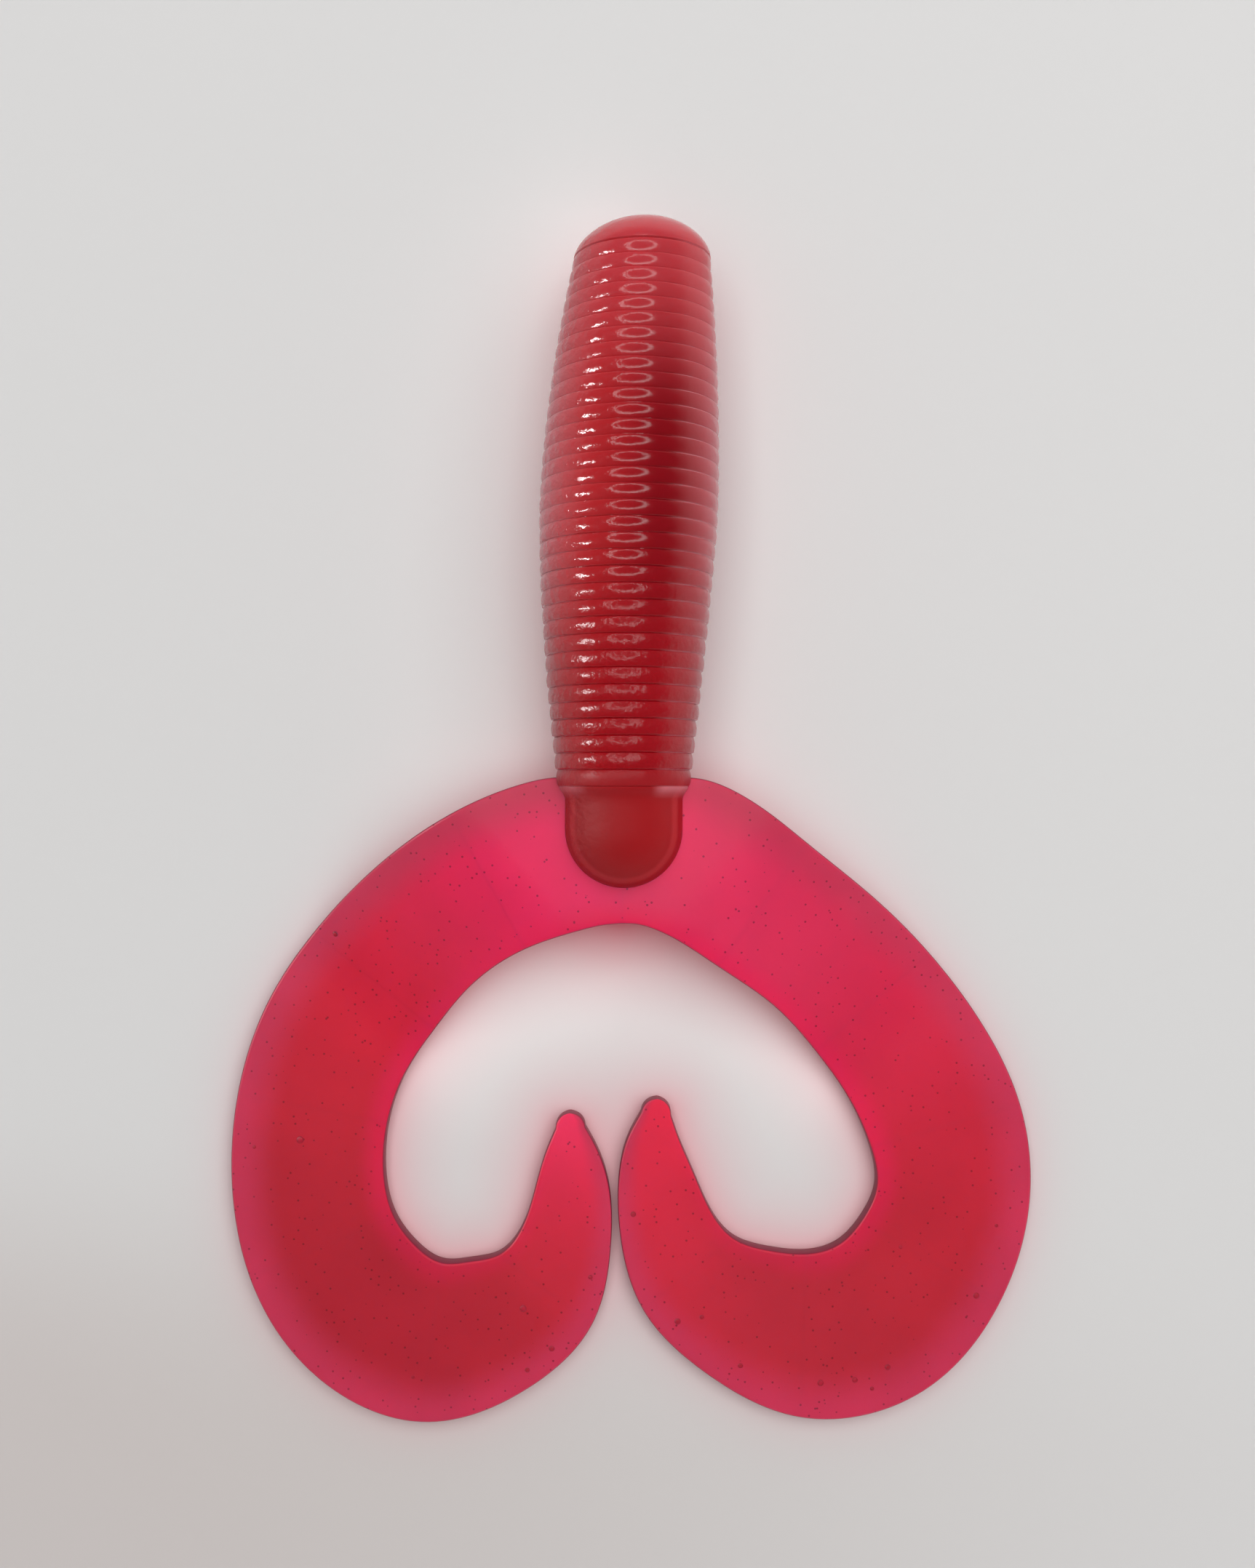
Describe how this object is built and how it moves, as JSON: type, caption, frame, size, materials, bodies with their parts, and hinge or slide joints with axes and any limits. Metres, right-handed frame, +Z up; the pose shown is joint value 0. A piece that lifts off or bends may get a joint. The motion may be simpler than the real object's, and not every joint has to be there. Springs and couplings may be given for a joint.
{
  "type": "soft plastic twin-tail fishing lure",
  "caption": "Soft plastic lure: a ribbed barrel body with a round tongue, and two flat ribbon tails that curl inward; body and tails bend at flex lines.",
  "frame": {"origin": "on the surface the lure lies on, under the middle of its outline", "axes": "+Y from the tails to the nose, +X to the right seen from above with the nose away from the viewer, +Z up"},
  "size_m": [0.056, 0.0821, 0.012],
  "materials": {
    "body_plastic": "glossy, translucent dark red soft plastic",
    "tail_plastic": "glossy, translucent pink-red soft plastic with fine dark specks"
  },
  "bodies": {
    "nose": {"nose_section": "body_plastic"},
    "fore": {"fore_section": "body_plastic"},
    "belly": {"belly_section": "body_plastic"},
    "aft": {"aft_section": "body_plastic"},
    "stem": {"tongue": "body_plastic", "web": "tail_plastic"},
    "left_root": {"left_tail_root": "tail_plastic"},
    "left_shoulder": {"left_tail_shoulder": "tail_plastic"},
    "left_bow": {"left_tail_bow": "tail_plastic"},
    "left_heel": {"left_tail_heel": "tail_plastic"},
    "left_lobe": {"left_tail_lobe": "tail_plastic"},
    "left_curl": {"left_tail_curl": "tail_plastic"},
    "left_tip": {"left_tail_tip": "tail_plastic"},
    "right_root": {"right_tail_root": "tail_plastic"},
    "right_shoulder": {"right_tail_shoulder": "tail_plastic"},
    "right_bow": {"right_tail_bow": "tail_plastic"},
    "right_heel": {"right_tail_heel": "tail_plastic"},
    "right_lobe": {"right_tail_lobe": "tail_plastic"},
    "right_curl": {"right_tail_curl": "tail_plastic"},
    "right_tip": {"right_tail_tip": "tail_plastic"}
  },
  "joints": [
    {"name": "neck_sway", "type": "hinge", "parent": "nose", "child": "fore", "pos_m": [0.00035, 0.03197, 0.006], "axis": [0, 0, 1], "range_deg": [-12, 12], "stiffness_Nm_per_rad": 0.016},
    {"name": "waist_nod", "type": "hinge", "parent": "fore", "child": "belly", "pos_m": [-0.00008, 0.02289, 0.006], "axis": [1, 0, 0], "range_deg": [-12, 12], "stiffness_Nm_per_rad": 0.02},
    {"name": "hip_sway", "type": "hinge", "parent": "belly", "child": "aft", "pos_m": [-0.00036, 0.01349, 0.006], "axis": [0, 0, 1], "range_deg": [-12, 12], "stiffness_Nm_per_rad": 0.018},
    {"name": "collar_nod", "type": "hinge", "parent": "aft", "child": "stem", "pos_m": [-0.00045, 0.00375, 0.006], "axis": [1, 0, 0], "range_deg": [-12, 12], "stiffness_Nm_per_rad": 0.01},
    {"name": "left_root_flap", "type": "hinge", "parent": "stem", "child": "left_root", "pos_m": [-0.00529, -0.00097, 0.006], "axis": [-0.3637, 0.9315, 0], "range_deg": [0, 20], "stiffness_Nm_per_rad": 0.00003},
    {"name": "left_shoulder_open", "type": "hinge", "parent": "left_root", "child": "left_shoulder", "pos_m": [-0.01769, -0.00202, 0.00065], "axis": [0, 0, -1], "range_deg": [0, 35], "stiffness_Nm_per_rad": 0.0014},
    {"name": "left_bow_flap", "type": "hinge", "parent": "left_shoulder", "child": "left_bow", "pos_m": [-0.0207, -0.0141, 0.00065], "axis": [-0.8992, 0.4376, 0], "range_deg": [-32, 32], "stiffness_Nm_per_rad": 0.00002},
    {"name": "left_heel_open", "type": "hinge", "parent": "left_bow", "child": "left_heel", "pos_m": [-0.02792, -0.02406, 0.00065], "axis": [0, 0, -1], "range_deg": [0, 35], "stiffness_Nm_per_rad": 0.0014},
    {"name": "left_lobe_flap", "type": "hinge", "parent": "left_heel", "child": "left_lobe", "pos_m": [-0.01885, -0.0327, 0.00065], "axis": [-0.6564, -0.7544, 0], "range_deg": [-32, 32], "stiffness_Nm_per_rad": 0.00002},
    {"name": "left_curl_flap", "type": "hinge", "parent": "left_lobe", "child": "left_curl", "pos_m": [-0.00915, -0.03395, 0.00065], "axis": [0.4219, -0.9066, 0], "range_deg": [-32, 32], "stiffness_Nm_per_rad": 0.00002},
    {"name": "left_tip_flap", "type": "hinge", "parent": "left_curl", "child": "left_tip", "pos_m": [-0.0044, -0.0276, 0.00065], "axis": [0.966, -0.2585, 0], "range_deg": [-32, 32], "stiffness_Nm_per_rad": 0.000008},
    {"name": "right_root_flap", "type": "hinge", "parent": "stem", "child": "right_root", "pos_m": [0.00443, -0.00127, 0.006], "axis": [-0.5525, -0.8335, 0], "range_deg": [0, 20], "stiffness_Nm_per_rad": 0.00003},
    {"name": "right_shoulder_open", "type": "hinge", "parent": "right_root", "child": "right_shoulder", "pos_m": [0.0165, -0.00373, 0.00065], "axis": [0, 0, 1], "range_deg": [0, 35], "stiffness_Nm_per_rad": 0.0014},
    {"name": "right_bow_flap", "type": "hinge", "parent": "right_shoulder", "child": "right_bow", "pos_m": [0.0199, -0.0154, 0.00065], "axis": [-0.8595, -0.5112, 0], "range_deg": [-32, 32], "stiffness_Nm_per_rad": 0.00002},
    {"name": "right_heel_open", "type": "hinge", "parent": "right_bow", "child": "right_heel", "pos_m": [0.02797, -0.02536, 0.00065], "axis": [0, 0, 1], "range_deg": [0, 35], "stiffness_Nm_per_rad": 0.0014},
    {"name": "right_lobe_flap", "type": "hinge", "parent": "right_heel", "child": "right_lobe", "pos_m": [0.0175, -0.0335, 0.00065], "axis": [-0.5038, 0.8638, 0], "range_deg": [-32, 32], "stiffness_Nm_per_rad": 0.00002},
    {"name": "right_curl_flap", "type": "hinge", "parent": "right_lobe", "child": "right_curl", "pos_m": [0.00765, -0.0331, 0.00065], "axis": [0.4729, 0.8811, 0], "range_deg": [-32, 32], "stiffness_Nm_per_rad": 0.00002},
    {"name": "right_tip_flap", "type": "hinge", "parent": "right_curl", "child": "right_tip", "pos_m": [0.0022, -0.0261, 0.00065], "axis": [0.95, 0.3122, 0], "range_deg": [-32, 32], "stiffness_Nm_per_rad": 0.000008}
  ]
}
